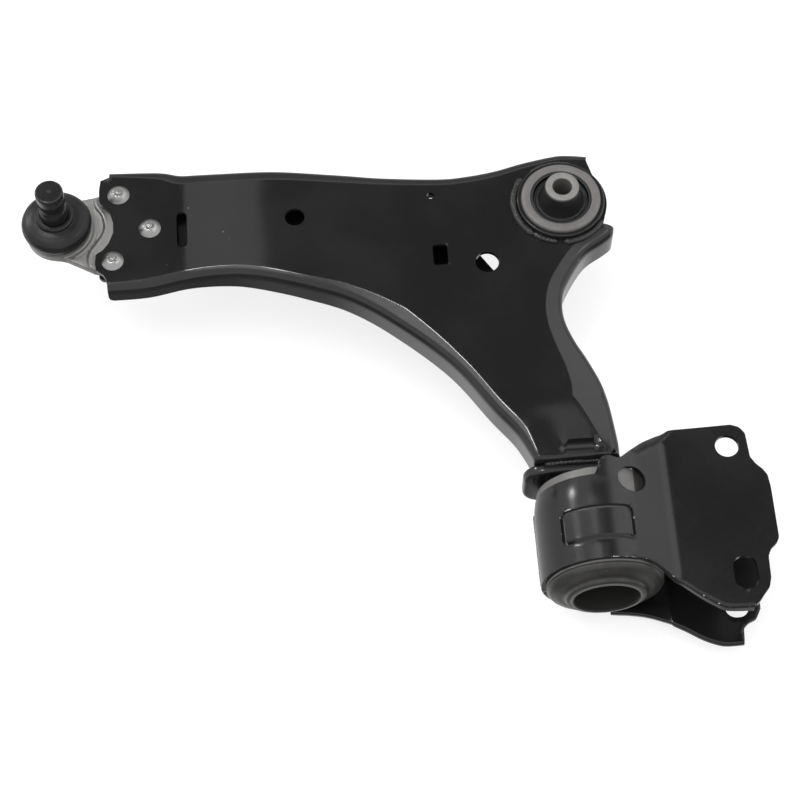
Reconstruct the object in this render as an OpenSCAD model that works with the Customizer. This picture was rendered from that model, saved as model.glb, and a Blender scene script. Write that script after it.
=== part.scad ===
// Front suspension control arm, left hand: a pressed steel arm with a riveted
// ball joint, a vertical front bush and a horizontal rear bush in its bracket.
// Frame: origin at the centre of the front bush, +X inboard, +Y forward, +Z up.

/* [Arm pressing] */
// Sheet thickness of the upper shell and the closing plate
sheet = 3; // [2.5:0.5:3.5]
// Height of the arm's top face at the bushes
arm_top = 17.5; // [16:0.5:19]
// Height of the arm's top face at the ball joint
tip_top = 10.5; // [10.5:0.5:12]
// Lowest edge of the side walls at the bushes
wall_foot = -9.5; // [-12:0.5:-8]
// Lowest edge of the side walls at the ball joint
tip_foot = -5.5; // [-7:0.5:-5]

/* [Front bush] */
// Outer radius of the tube welded into the arm
tube_r = 33.25; // [33:0.25:34]
// Outer radius of the bush's outer can
can_r = 30.2; // [29.5:0.1:30.5]
// Radius of the opening in the can's top flange
can_mouth_r = 23; // [22:0.5:24]
// Outer radius of the inner sleeve
sleeve_r = 13; // [12:0.5:14]
// Bolt bore radius of the inner sleeve
bolt_bore_r = 7.25; // [6.25:0.25:8.25]
// Length of the inner sleeve
sleeve_len = 80; // [76:1:84]

/* [Ball joint] */
// Place of the ball joint's axis
ball_x = -382; // [-390:1:-375]
// Place of the ball joint's axis, fore and aft
ball_y = 9; // [5:1:12]
// Radius of the ball
ball_r = 12.5; // [12:0.1:12.8]
// Radius of the stud's clamped shank
stud_r = 10.5; // [9:0.25:10.5]
// Height of the stud's end
stud_top = 60; // [56:1:64]
// Largest radius of the rubber boot
boot_r = 25.6; // [25.5:0.1:26]
// Shank radius of the rivets
rivet_r = 5; // [4:0.5:6]

/* [Rear bush] */
// Place of the rear bush's axis across the arm
rear_x = 3; // [0:1:6]
// Height of the rear bush's axis
rear_z = -15; // [-16:0.5:-14]
// Outer radius of the rear bush's can
rear_can_r = 42; // [41:0.5:43]
// Outer radius of the rear bush's inner sleeve
rear_sleeve_r = 26; // [25:0.5:27]
// Bore radius of the rear bush's inner sleeve
rear_bore_r = 23.5; // [22.5:0.5:24]

/* [Bracket] */
// Sheet thickness of the two bracket pressings
bracket_sheet = 3.5; // [3:0.5:4]
// Height of the upper plate's top face
upper_face = 11; // [10:0.5:12]
// Gap between the two plates
plate_gap = 50; // [48:0.5:52]
// Radius of the front bolt hole
bolt_hole_r = 8.5; // [7:0.5:9]
// Length of the rear slot
slot_len = 25; // [20:1:26]

/* [Hidden] */

$fn = 96;
black = [0.07, 0.07, 0.075];
steel = [0.62, 0.62, 0.63];
dark_rubber = [0.05, 0.05, 0.05];
fit_gap = 0.05;   // running fit of the ball
soft_gap = 0.3;   // between rubber and the metal that turns over it
far = 400;        // longer than any cut

// Arm outline, counter-clockwise from above, in four stretches
near_edge = [[-343, -49.5], [-315, -48.5], [-285, -43], [-258, -42.5],
    [-235, -46], [-198, -57.5], [-165, -70.5], [-132, -93.5], [-94, -130],
    [-67, -169], [-50.5, -191.5], [-40, -214]];
inboard_edge = [[21.5, -214], [21.5, -198], [17.5, -160], [9, -136],
    [-1, -115], [-6.5, -97], [-6.3, -81], [-1, -67], [14, -45],
    [33, -31.5], [38.5, -24]];
far_edge = [[25.5, 36], [21, 43], [12, 44.5], [0, 44.8], [-25, 40.4],
    [-47, 34.8], [-69, 31.5], [-91, 30.6], [-134, 34.6], [-166, 39.7],
    [-217, 47], [-270, 51.4], [-289, 52.8], [-305, 56], [-343, 56.5]];
tip_edge = [[-349, 49.5], [-350.5, 40], [-350.5, 30], [-348.5, 25], [-342.5, 19],
    [-340, 10], [-340, 1], [-343.5, -8], [-348.5, -14.5], [-353.5, -17.5],
    [-354, -26], [-352, -34], [-346.5, -37.5]];
lip_r = tube_r + 2;   // the arm's rim round the tube on its open side
lip_arc = [for (a = [-20:7:43]) lip_r * [cos(a), sin(a)]];

// Bends in the arm's side view
tip_bend_x = -287;    // the top face starts to rise here
arm_bend_x = -206;    // and is level from here
foot_bend_x = -130;   // the side walls reach full depth here
nose = 8;             // drop of the top face at the rear end
rear_end_y = -214;

// Ball joint heights and outline
ball_z = 5;
tongue_z = 0;
tongue_t = tip_top - sheet - tongue_z;
tongue_turn = -5;     // the ball joint sits turned on the arm's end
seat_r = 15.5;
housing_top = 9.5;
housing_foot = -11.5;
rivet_places = [[44, 29.3], [44, -29.3], [70, 0]];
rivet_head_r = 8.35;
rivet_head_h = 4.5;
collar_z = 25.2;      // underside of the boot's collar

// Front bush heights
can_top = 25;
can_foot = -27;
can_wall = 2;
tube_top = 22.5;
tube_foot = -25;

// Rear bush and bracket stations, all measured along -Y
collar_s = 214;
collar_t = 8;
rear_sleeve_s = 222;
rear_sleeve_end = 312;
rear_can_s = 229;
rear_can_end = 304;
spigot_end = 288;
band_s = 234;
band_end = 299;
band_r = rear_can_r + bracket_sheet;
seam_angle = 196;
plate_bend_x = 52;
hole_x = 99;
hole_y = -210.5;
slot_y = -309;
lower_face = upper_face - bracket_sheet - plate_gap;

upper_outline = [[0, -231], [4, -223], [10, -219.5], [19, -221], [27, -215],
    [38, -206], [46, -201], [56, -195], [75, -194.5], [104, -193.5],
    [110, -196], [113.5, -201], [114.5, -220], [118, -226], [122, -230],
    [125, -235], [126, -245], [126, -284], [124, -288], [119, -292.5],
    [116.5, -298], [116, -314], [114, -321], [109, -327], [103, -332],
    [84, -332], [76, -330.5], [65, -323], [52, -312.5], [40, -303],
    [30, -299], [0, -299]];
lower_outline = [[0, -234], [19, -227], [27, -217], [38, -207], [46, -201],
    [56, -195], [75, -194.5], [104, -193.5], [110, -196], [113.5, -201],
    [114.5, -220], [118, -226], [122, -230], [125, -235], [126, -245],
    [126, -284], [124, -288], [119, -292.5], [116.5, -298], [116, -316],
    [112, -323.5], [106, -326], [102, -330], [101, -340], [77, -340],
    [70, -337], [60, -329.5], [46, -321], [34, -314], [22, -306], [8, -300],
    [0, -299]];

function unit(v) = v / norm(v);
function left_of(a, b) = let (u = unit(b - a)) [-u[1], u[0]];

// A closed counter-clockwise outline moved inwards by d
function inset(pts, d) = let (n = len(pts)) [for (i = [0:n - 1])
    let (b = pts[i], n1 = left_of(pts[(i + n - 1) % n], b),
        n2 = left_of(b, pts[(i + 1) % n]), m = unit(n1 + n2))
    b + m * d / (m * n1)];

// A smooth curve through all the points of an open line
function at(p, i) = p[max(0, min(len(p) - 1, i))];
function curve(p, steps = 3) = concat([for (i = [0:len(p) - 2], k = [0:steps - 1])
    let (t = k / steps, a = at(p, i - 1), b = p[i], c = p[i + 1], d = at(p, i + 2))
    b + t * (c - a) / 2 + t * t * (a - 2.5 * b + 2 * c - d / 2)
    + t * t * t * (1.5 * (b - c) + (d - a) / 2)], [p[len(p) - 1]]);

arm_outline = concat(curve(near_edge), curve(inboard_edge), lip_arc,
    curve(far_edge), tip_edge);

// Angle at which the sloping face leaves the band
function leave_angle(face, side) = let (v = [plate_bend_x - rear_x, face - rear_z])
    atan2(v[1], v[0]) + side * acos(band_r / norm(v));

// A plan outline as a prism through the whole height
module plan(pts) translate([0, 0, -far / 2]) linear_extrude(far) polygon(pts);

// A side-view outline in X and Z as a prism along the whole of Y
module side_view(pts) rotate([90, 0, 0]) translate([0, 0, -far])
    linear_extrude(2 * far) polygon(pts);

// A fore-and-aft outline in Y and Z as a prism along the whole of X
module end_view(pts) rotate([90, 0, 90]) translate([0, 0, -far])
    linear_extrude(2 * far) polygon(pts);

// A ring or disc about the ball joint's axis
module at_ball() translate([ball_x, ball_y, 0]) children();

// A profile of radius and distance along -Y, turned about the rear bush axis
module at_rear(from = 0, to = 360) translate([rear_x, 0, rear_z])
    rotate([90, 0, 0]) rotate([0, 0, from]) rotate_extrude(angle = to - from) children();

module ring(r_out, r_in, z0, z1) rotate_extrude() translate([r_in, z0])
    square([r_out - r_in, z1 - z0]);

// The arm's space: its plan between its top and foot lines, both lowered by drop
module arm_space(outline, drop) intersection() {
    plan(outline);
    side_view([[-far, tip_foot - drop], [arm_bend_x, tip_foot - drop],
        [foot_bend_x, wall_foot - drop], [far, wall_foot - drop],
        [far, arm_top - drop], [arm_bend_x, arm_top - drop],
        [tip_bend_x, tip_top - drop], [-far, tip_top - drop]]);
    end_view([[-far, -far], [far, -far], [far, far], [rear_end_y + nose, far],
        [rear_end_y + nose, arm_top - drop], [rear_end_y + drop, arm_top - nose - drop / 2],
        [-far, arm_top - nose - drop / 2]]);
}

module arm_holes() {
    // long slot near the ball joint
    for (y = [-11.5, 11.5]) translate([-288, y, 0]) cylinder(r = 4, h = far);
    translate([-292, -11.5, 0]) cube([8, 23, far]);
    translate([-202, 1, 0]) cylinder(r = 7.5, h = far);
    translate([-98, 13, 0]) cylinder(r = 2.75, h = far);
    translate([-100, -48.5, 0]) cube([11, 17.5, far]);
    translate([-60, -48.5, 0]) cylinder(r = 8.75, h = far);
}

module rivet_holes() at_rivets() translate([0, 0, -far / 2])
    cylinder(r = rivet_r, h = far);

module at_rivets() at_ball() rotate([0, 0, tongue_turn])
    for (p = rivet_places) translate(p) children();

module upper_shell() color(black) difference() {
    arm_space(arm_outline, 0);
    arm_space(inset(arm_outline, sheet), sheet);
    // no wall at the tip or round the tube's inboard side
    translate([-380, near_edge[0][1] + sheet, tip_foot - 1])
        cube([50, 103 - sheet, tip_top - sheet - tip_foot + 1]);
    translate([20, -14.5, wall_foot - 1])
        cube([30, 44, arm_top - sheet - wall_foot + 1]);
    translate([0, 0, -far / 2]) cylinder(r = tube_r, h = far);
    arm_holes();
    rivet_holes();
}

// Closing plate inside the side walls, open on the front bush's side
module lower_plate() color(black) difference() {
    intersection() {
        union() {
            plan(inset(arm_outline, sheet));
            translate([-352, near_edge[0][1] + 14, -far / 2]) cube([30, 78, far]);
        }
        plan([[-360, -240], [40, -240], [40, -188], [-12, -108], [-98, 25],
            [-108, 60], [-360, 60]]);
        side_view([[-far, tongue_z - sheet], [arm_bend_x, tongue_z - sheet],
            [foot_bend_x, wall_foot + 2], [far, wall_foot + 2],
            [far, wall_foot + 2 + sheet], [foot_bend_x, wall_foot + 2 + sheet],
            [arm_bend_x, tongue_z], [-far, tongue_z]]);
    }
    rivet_holes();
}

module front_bush_tube() color(black) ring(tube_r, can_r, tube_foot, tube_top);

module front_tube_weld() color(black) rotate_extrude()
    polygon([[tube_r, arm_top], [lip_r, arm_top], [tube_r, arm_top + 2.4]]);

// Rounded end plate, seen along the rear bush axis
module collar_face() {
    r = 15;
    left = -48;
    right = 30;
    foot = rear_z - 24;
    head = rear_z + 24;
    translate([left + r, foot]) square([right - left - 2 * r, head - foot]);
    translate([left, foot + r]) square([right - left, head - foot - 2 * r]);
    for (x = [left + r, right - r], z = [foot + r, head - r])
        translate([x, z]) circle(r = r);
}

module rear_collar() color(black) difference() {
    rotate([90, 0, 0]) translate([0, 0, collar_s]) linear_extrude(collar_t)
        collar_face();
    at_rear() translate([0, collar_s - 1]) square([rear_bore_r, collar_t + 2]);
}

module rear_spigot() color(steel) at_rear()
    translate([18, collar_s]) square([rear_bore_r - 18, spigot_end - collar_s]);

module collar_weld() color(black) intersection() {
    translate([-34, -collar_s - 2, rear_z + 24]) rotate([0, 90, 0])
        cylinder(r = 1.9, h = 52);
    translate([-60, -240, rear_z + 24]) cube([120, 40, 10]);
}

module tongue() linear_extrude(tongue_t) polygon([[0, -24], [8, -25.5], [30, -35.5],
    [44, -38.5], [54, -37], [62, -24], [78, -10], [82, 0], [78, 10], [62, 24],
    [54, 37], [44, 38.5], [30, 31], [16, 27.5], [0, 24]]);

module ball_joint_housing() color(steel) difference() {
    union() {
        at_ball() rotate_extrude() polygon([[0, housing_foot], [17.2, housing_foot],
            [19.5, -8], [22, -1], [24.2, 4], [24.2, housing_top], [15, housing_top],
            [15, housing_top + 1.5], [0, housing_top + 1.5]]);
        at_ball() translate([0, 0, tongue_z]) rotate([0, 0, tongue_turn]) tongue();
    }
    at_ball() translate([0, 0, housing_foot - 1]) cylinder(r = seat_r, h = 9 - housing_foot + 1);
    at_ball() cylinder(r = 12.1, h = far);
    rivet_holes();
}

module ball_joint_rivets() color(steel) at_rivets() {
    foot = tongue_z - sheet;
    dome_r = (rivet_head_r * rivet_head_r + rivet_head_h * rivet_head_h) / (2 * rivet_head_h);
    translate([0, 0, foot]) cylinder(r = rivet_r, h = tip_top - foot);
    for (turn = [0, 180]) translate([0, 0, turn == 0 ? tip_top : foot])
        rotate([turn, 0, 0]) intersection() {
            translate([0, 0, rivet_head_h - dome_r]) sphere(r = dome_r);
            cylinder(r = 2 * rivet_head_r, h = rivet_head_h);
        }
}

module ball_seat() color([0.9, 0.9, 0.85]) at_ball() difference() {
    translate([0, 0, -9]) cylinder(r = seat_r, h = 18);
    translate([0, 0, ball_z]) sphere(r = ball_r + fit_gap);
}

module housing_cover() color(steel) at_ball() translate([0, 0, housing_foot])
    cylinder(r = seat_r, h = -9 - housing_foot);

module ball_stud() color(black) at_ball() union() {
    translate([0, 0, ball_z]) sphere(r = ball_r);
    rotate_extrude() polygon([[0, ball_z], [6.5, ball_z + 8], [6.5, 18],
        [stud_r, collar_z], [stud_r, stud_top - 22], [stud_r - 1.7, stud_top - 20.5],
        [stud_r - 1.7, stud_top - 15.5], [stud_r, stud_top - 14],
        [stud_r, stud_top - 1.5], [stud_r - 1.5, stud_top], [0, stud_top]]);
}

module boot_lower() color(dark_rubber) at_ball() rotate_extrude()
    polygon([[21.5, housing_top], [24, housing_top], [24, 11.3], [boot_r, 11.9],
        [boot_r, 16], [22.8, 16.5], [24.2, 12.9], [21.5, 12]]);

// One fold of the boot, half way between the housing and the stud
module boot_middle() color(dark_rubber) at_ball() rotate_extrude()
    translate([15.5, ball_z + 13]) circle(r = 1.3);

module boot_upper() color(dark_rubber) at_ball() rotate_extrude()
    polygon([[stud_r + soft_gap, collar_z], [14.2, collar_z], [14.2, collar_z + 0.6],
        [13, collar_z + 0.6], [13, collar_z + 1.8], [14.2, collar_z + 1.8],
        [14, collar_z + 2.5], [stud_r + soft_gap, collar_z + 3]]);

module boot_clip_lower() color(steel) at_ball() ring(25.2, 24, 9.8, 11.1);

module boot_clip_upper() color(steel) at_ball() ring(14, 13, collar_z + 0.7, collar_z + 1.7);

module front_bush_can() color(steel) rotate_extrude()
    polygon([[can_r - can_wall, can_foot], [can_r, can_foot], [can_r, can_top - 1],
        [can_r - 1, can_top], [can_mouth_r + 0.8, can_top], [can_mouth_r, can_top - 0.8],
        [can_mouth_r, can_top - 2.5], [can_r - can_wall, can_top - 2.5]]);

// A round-sided plug, so that it rocks in the can with the sleeve
module front_bush_rubber() color(dark_rubber) difference() {
    union() {
        intersection() {
            sphere(r = can_r - can_wall - soft_gap);
            translate([0, 0, -21.5]) cylinder(r = can_r, h = 43);
        }
        translate([0, 0, 21.4]) cylinder(r1 = 17.2, r2 = 14.2, h = 13.6);
    }
    translate([0, 0, -far / 2]) cylinder(r = sleeve_r, h = far);
}

module front_bush_sleeve() color(steel)
    ring(sleeve_r, bolt_bore_r, -sleeve_len / 2, sleeve_len / 2);

module rear_bush_sleeve() color(steel) at_rear()
    translate([rear_bore_r, rear_sleeve_s])
    square([rear_sleeve_r - rear_bore_r, rear_sleeve_end - rear_sleeve_s]);

module rear_bush_rubber() color(dark_rubber) at_rear() {
    wall_r = rear_can_r - 2.5 - soft_gap;
    polygon([[rear_sleeve_r, 226], [33, 228], [wall_r, 233], [wall_r, 300.5],
        [36.2, 300.5], [36.2, 303.5], [31, 307], [rear_sleeve_r, 308.5]]);
}

module rear_bush_can() color(steel) at_rear()
    polygon([[rear_can_r - 2.5, rear_can_s], [rear_can_r, rear_can_s],
        [rear_can_r, rear_can_end - 4.5], [rear_can_r - 1.2, rear_can_end - 1.5],
        [rear_can_r - 4, rear_can_end], [36.5, rear_can_end],
        [36.5, rear_can_end - 2.5], [rear_can_r - 2.5, rear_can_end - 3.2]]);

// The two sloping and flat faces of one pressing, seen along the bush axis
module plate_face(face, side) {
    a = leave_angle(face, side);
    outer = (band_r - 0.3) * [cos(a), sin(a)] + [rear_x, rear_z];
    inner = (rear_can_r + 0.3) * [cos(a), sin(a)] + [rear_x, rear_z];
    back = face - side * bracket_sheet;
    polygon([inner, outer, [plate_bend_x, face], [130, face], [130, back],
        [plate_bend_x - 0.9, back]]);
}

module bracket_plate(face, side, outline) intersection() {
    plan(outline);
    rotate([90, 0, 0]) translate([0, 0, 150]) linear_extrude(250) plate_face(face, side);
}

module bolt_holes() {
    translate([hole_x, hole_y, -far / 2]) cylinder(r = bolt_hole_r, h = far);
    for (s = [-1, 1]) translate([hole_x, slot_y + s * (slot_len / 2 - bolt_hole_r), -far / 2])
        cylinder(r = bolt_hole_r, h = far);
    translate([hole_x - bolt_hole_r, slot_y - slot_len / 2 + bolt_hole_r, -far / 2])
        cube([2 * bolt_hole_r, slot_len - 2 * bolt_hole_r, far]);
}

module band(from, to) at_rear(from, to) translate([rear_can_r, band_s])
    square([bracket_sheet, band_end - band_s]);

module bracket_upper() color(black) difference() {
    union() {
        band(leave_angle(upper_face, 1) - 1, seam_angle);
        bracket_plate(upper_face, 1, upper_outline);
        // tab reaching forward over the bush
        intersection() {
            plan(upper_outline);
            at_rear(leave_angle(upper_face, 1) - 1, 93) translate([rear_can_r, 210])
                square([bracket_sheet, 30]);
        }
        translate([80, -335, upper_face - 8]) cube([23, bracket_sheet, 8]);
    }
    bolt_holes();
    // round hole in the slope, over the bush
    translate([26, -237.5, 0]) cylinder(r = 10, h = far);
    // lanced panel over the bush
    at_rear(leave_angle(upper_face, 1) + 1, 134) translate([rear_can_r + 2, 260])
        square([4, 29]);
}

module bracket_lower() color(black) difference() {
    union() {
        band(seam_angle, 361 + leave_angle(lower_face - bracket_sheet, -1));
        bracket_plate(lower_face - bracket_sheet, -1, lower_outline);
        translate([78, -343, lower_face - 8]) cube([22, bracket_sheet, 8]);
    }
    bolt_holes();
}

module bracket_seam_weld() color(black) at_rear(seam_angle - 2, seam_angle + 2)
    translate([band_r, band_s + 4]) square([1.3, band_end - band_s - 8]);

upper_shell();
lower_plate();
front_bush_tube();
front_tube_weld();
rear_collar();
rear_spigot();
collar_weld();
ball_joint_housing();
ball_joint_rivets();
ball_seat();
housing_cover();
ball_stud();
boot_lower();
boot_middle();
boot_upper();
boot_clip_lower();
boot_clip_upper();
front_bush_can();
front_bush_rubber();
front_bush_sleeve();
rear_bush_sleeve();
rear_bush_rubber();
rear_bush_can();
bracket_upper();
bracket_lower();
bracket_seam_weld();
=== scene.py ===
import math

import bmesh
import bpy
import numpy as np
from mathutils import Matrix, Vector, noise
from mathutils.geometry import delaunay_2d_cdt


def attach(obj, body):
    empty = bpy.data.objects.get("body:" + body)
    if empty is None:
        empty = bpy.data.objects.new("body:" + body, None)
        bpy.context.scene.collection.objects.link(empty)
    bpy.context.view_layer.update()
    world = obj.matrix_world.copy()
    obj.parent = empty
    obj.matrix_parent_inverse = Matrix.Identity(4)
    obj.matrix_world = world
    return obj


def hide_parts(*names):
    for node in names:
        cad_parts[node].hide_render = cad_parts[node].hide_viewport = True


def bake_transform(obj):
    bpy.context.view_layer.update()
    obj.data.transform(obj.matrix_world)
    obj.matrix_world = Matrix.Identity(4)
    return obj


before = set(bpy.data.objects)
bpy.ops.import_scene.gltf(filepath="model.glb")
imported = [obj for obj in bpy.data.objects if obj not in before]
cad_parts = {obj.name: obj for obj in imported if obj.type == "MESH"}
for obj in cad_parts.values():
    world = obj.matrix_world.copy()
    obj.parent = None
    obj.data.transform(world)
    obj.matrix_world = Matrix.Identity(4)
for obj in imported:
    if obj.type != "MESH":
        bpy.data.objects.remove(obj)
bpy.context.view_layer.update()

# All lengths in this script are millimetres, in the part's own frame, until
# mesh_object() turns them into metres.
MM = 0.001
SHEET = 3.0
PLATE_SHEET = 3.5
BALL = (-382.0, 9.0)
BALL_Z = 5.0
REAR_X, REAR_Z = 3.0, -15.0
BAND_R = 45.5
BAND_FRONT, BAND_REAR = -234.0, -299.0


# -------- materials

def nodes_of(name):
    mat = bpy.data.materials.new(name)
    mat.use_nodes = True
    tree = mat.node_tree
    bsdf = tree.nodes["Principled BSDF"]
    coord = tree.nodes.new("ShaderNodeTexCoord")
    return mat, tree, bsdf, coord.outputs["Object"]


def noise_node(tree, coord, scale, detail=3.0, rough=0.5, distortion=0.0):
    n = tree.nodes.new("ShaderNodeTexNoise")
    for key, v in (("Scale", scale), ("Detail", detail), ("Roughness", rough),
                   ("Distortion", distortion)):
        n.inputs[key].default_value = v
    tree.links.new(coord, n.inputs["Vector"])
    return n.outputs["Fac"]


def remap(tree, value, a, b, c, d, smooth=True):
    m = tree.nodes.new("ShaderNodeMapRange")
    m.interpolation_type = "SMOOTHSTEP" if smooth else "LINEAR"
    for key, v in (("From Min", a), ("From Max", b), ("To Min", c), ("To Max", d)):
        m.inputs[key].default_value = v
    tree.links.new(value, m.inputs["Value"])
    return m.outputs["Result"]


def math_node(tree, op, a, b):
    m = tree.nodes.new("ShaderNodeMath")
    m.operation = op
    for socket, v in zip(m.inputs, (a, b)):
        if isinstance(v, (int, float)):
            socket.default_value = v
        else:
            tree.links.new(v, socket)
    return m.outputs[0]


def mix_colour(tree, fac, a, b):
    m = tree.nodes.new("ShaderNodeMix")
    m.data_type = "RGBA"
    tree.links.new(fac, m.inputs[0])
    for socket, v in ((m.inputs[6], a), (m.inputs[7], b)):
        if isinstance(v, (tuple, list)):
            socket.default_value = (*v, 1.0)
        else:
            tree.links.new(v, socket)
    return m.outputs[2]


def bump(tree, bsdf, heights, distance=0.001):
    """Chains bump nodes: heights is a list of (socket, strength)."""
    last = None
    for h, strength in heights:
        b = tree.nodes.new("ShaderNodeBump")
        b.inputs["Strength"].default_value = strength
        b.inputs["Distance"].default_value = distance
        tree.links.new(h, b.inputs["Height"])
        if last is not None:
            tree.links.new(last, b.inputs["Normal"])
        last = b.outputs["Normal"]
    tree.links.new(last, bsdf.inputs["Normal"])


def speck_mask(tree, coord, scale, size, thin):
    """Sparse small spots: dots of a cell pattern, kept only where thin lets them."""
    v = tree.nodes.new("ShaderNodeTexVoronoi")
    v.inputs["Scale"].default_value = scale
    tree.links.new(coord, v.inputs["Vector"])
    dot = remap(tree, v.outputs["Distance"], size * 0.6, size, 1.0, 0.0)
    split = tree.nodes.new("ShaderNodeSeparateColor")
    tree.links.new(v.outputs["Color"], split.inputs[0])
    keep = remap(tree, split.outputs[0], thin, thin + 0.01, 0.0, 1.0)
    return math_node(tree, "MULTIPLY", dot, keep)


def wear_and_glint_mask(tree, coord, low, high):
    """Chipped spots, and painted glints, along the edges that the mesh marks for them in an
    attribute.
    """
    a = tree.nodes.new("ShaderNodeAttribute")
    a.attribute_name = "wear_and_glint"
    grain = noise_node(tree, coord, 420.0, 5.0, 0.65)
    both = math_node(tree, "MULTIPLY", a.outputs["Fac"], grain)
    return remap(tree, both, low, high, 0.0, 1.0)


def paint(name, base, rough, chip_or_glint=(0.42, 0.42, 0.42), chips_and_glints=True, peel=0.05, dusty=0.06):
    mat, tree, bsdf, co = nodes_of(name)
    broad = noise_node(tree, co, 14.0, 3.0, 0.55)
    fine = noise_node(tree, co, 260.0, 4.0, 0.6)
    dust = noise_node(tree, co, 75.0, 6.0, 0.7, 0.6)
    lift = tuple(c * 1.3 + 0.001 for c in base)
    colour = mix_colour(tree, remap(tree, broad, 0.35, 0.7, 0.0, 1.0), base, lift)
    colour = mix_colour(tree, remap(tree, dust, 0.56, 0.8, 0.0, dusty), colour,
                        tuple(c + 0.035 for c in base))
    specks = speck_mask(tree, co, 230.0, 0.1, 0.986)
    colour = mix_colour(tree, specks, colour, (0.3, 0.3, 0.3))
    r = remap(tree, broad, 0.3, 0.75, rough - 0.02, rough + 0.03)
    if chips_and_glints:
        # The chip colour stands for bare-metal chips and, on the weld runs, for painted glints.
        worn_or_glint = wear_and_glint_mask(tree, co, 0.58, 0.66)
        colour = mix_colour(tree, worn_or_glint, colour, chip_or_glint)
        r = math_node(tree, "ADD", r, math_node(tree, "MULTIPLY", worn_or_glint, 0.2))
    r = math_node(tree, "ADD", r, remap(tree, fine, 0.4, 0.75, 0.0, 0.03))
    tree.links.new(colour, bsdf.inputs["Base Color"])
    tree.links.new(r, bsdf.inputs["Roughness"])
    bump(tree, bsdf, [(fine, peel), (noise_node(tree, co, 900.0, 2.0), peel * 0.5)],
         0.0003)
    return mat


def metal(name, base, rough, spread=0.1, metallic=1.0, grain=(500.0, 0.15),
          stain=(0.1, 0.1, 0.1), stained=0.25):
    mat, tree, bsdf, co = nodes_of(name)
    broad = noise_node(tree, co, 60.0, 5.0, 0.6, 0.4)
    fine = noise_node(tree, co, grain[0], 5.0, 0.65)
    colour = mix_colour(tree, remap(tree, broad, 0.45, 0.75, 0.0, stained), base, stain)
    lift = tuple(min(1.0, c * 1.25) for c in base)
    colour = mix_colour(tree, remap(tree, fine, 0.5, 0.72, 0.0, 0.6), colour, lift)
    r = remap(tree, broad, 0.3, 0.7, rough - spread * 0.5, rough + spread)
    bsdf.inputs["Metallic"].default_value = metallic
    tree.links.new(colour, bsdf.inputs["Base Color"])
    tree.links.new(r, bsdf.inputs["Roughness"])
    bump(tree, bsdf, [(fine, grain[1]), (broad, grain[1] * 0.6)], 0.0004)
    return mat


def rubber(name, base, rough, grain=0.12, gloss=0.5):
    mat, tree, bsdf, co = nodes_of(name)
    broad = noise_node(tree, co, 45.0, 4.0, 0.6)
    fine = noise_node(tree, co, 700.0, 4.0, 0.6)
    dusty = tuple(c * 1.6 + 0.006 for c in base)
    colour = mix_colour(tree, remap(tree, broad, 0.4, 0.7, 0.0, 1.0), base, dusty)
    colour = mix_colour(tree, speck_mask(tree, co, 260.0, 0.12, 0.97), colour,
                        (0.25, 0.25, 0.25))
    tree.links.new(colour, bsdf.inputs["Base Color"])
    tree.links.new(remap(tree, fine, 0.3, 0.7, rough - 0.05, rough + 0.08),
                   bsdf.inputs["Roughness"])
    bsdf.inputs["Specular IOR Level"].default_value = gloss
    bump(tree, bsdf, [(fine, grain), (broad, grain * 0.5)], 0.0003)
    return mat


ARM_PAINT = paint("arm_paint", (0.0089, 0.0089, 0.0091), 0.12, peel=0.03)
BRACKET_PAINT = paint("bracket_paint", (0.0063, 0.0063, 0.0065), 0.17, peel=0.05, dusty=0.1)
BEAD_PAINT = paint("bead_paint", (0.011, 0.0105, 0.0105), 0.26, peel=0.3, dusty=0.4)
HOUSING = metal("housing_steel", (0.27, 0.266, 0.257), 0.42, 0.12, 0.8, (620.0, 0.4),
                (0.16, 0.157, 0.15), 0.5)
RIVET = metal("rivet_steel", (0.37, 0.37, 0.363), 0.3, 0.14, 1.0, (350.0, 0.5),
              (0.2, 0.2, 0.2), 0.75)
STUD = paint("stud_black", (0.0085, 0.0085, 0.0088), 0.14, chips_and_glints=False, peel=0.08)
CLIP = metal("clip_steel", (0.2, 0.2, 0.2), 0.35)
CAN = metal("bush_can_grey", (0.15, 0.147, 0.14), 0.42, 0.1, 0.4, (480.0, 0.3),
            (0.08, 0.078, 0.074), 0.35)
RING = metal("bush_ring_grey", (0.165, 0.158, 0.153), 0.46, 0.1, 0.5, (900.0, 0.4),
             (0.11, 0.104, 0.1), 0.4)
SLEEVE = metal("sleeve_steel", (0.25, 0.245, 0.235), 0.42, 0.1, 0.6, (800.0, 0.4),
               (0.14, 0.138, 0.13), 0.35)
# Painted shade: a near-black finish for faces that stand in shadow, in the rear bush's bore and
# under the bracket's round hole.
BORE_SHADE = metal("bore_painted_shade", (0.012, 0.012, 0.011), 0.6, 0.1, 0.0, (300.0, 0.3),
             (0.006, 0.006, 0.006), 0.3)
SPIGOT = metal("spigot_steel", (0.02, 0.02, 0.019), 0.5, 0.1, 0.2)
SEAT = metal("seat_plastic", (0.7, 0.7, 0.66), 0.45, 0.05, 0.0, (500.0, 0.1),
             (0.55, 0.55, 0.5), 0.2)
BOOT = rubber("boot_rubber", (0.0052, 0.0052, 0.0054), 0.33, 0.05, 0.36)
BUSH = rubber("bush_rubber", (0.0085, 0.0088, 0.0088), 0.42, 0.06)
REAR_BUSH = rubber("rear_bush_rubber", (0.02, 0.0195, 0.018), 0.34, 0.08)


# -------- mesh tools

def mark_sharp(mesh, degrees):
    """Smooth faces, with hard edges where two faces meet at more than degrees."""
    bm = bmesh.new()
    bm.from_mesh(mesh)
    bmesh.ops.remove_doubles(bm, verts=bm.verts, dist=2e-6)
    bmesh.ops.recalc_face_normals(bm, faces=bm.faces)
    limit = math.radians(degrees)
    for f in bm.faces:
        f.smooth = True
    for e in bm.edges:
        e.smooth = not (len(e.link_faces) == 2 and e.calc_face_angle() > limit)
    bm.to_mesh(mesh)
    bm.free()


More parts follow.
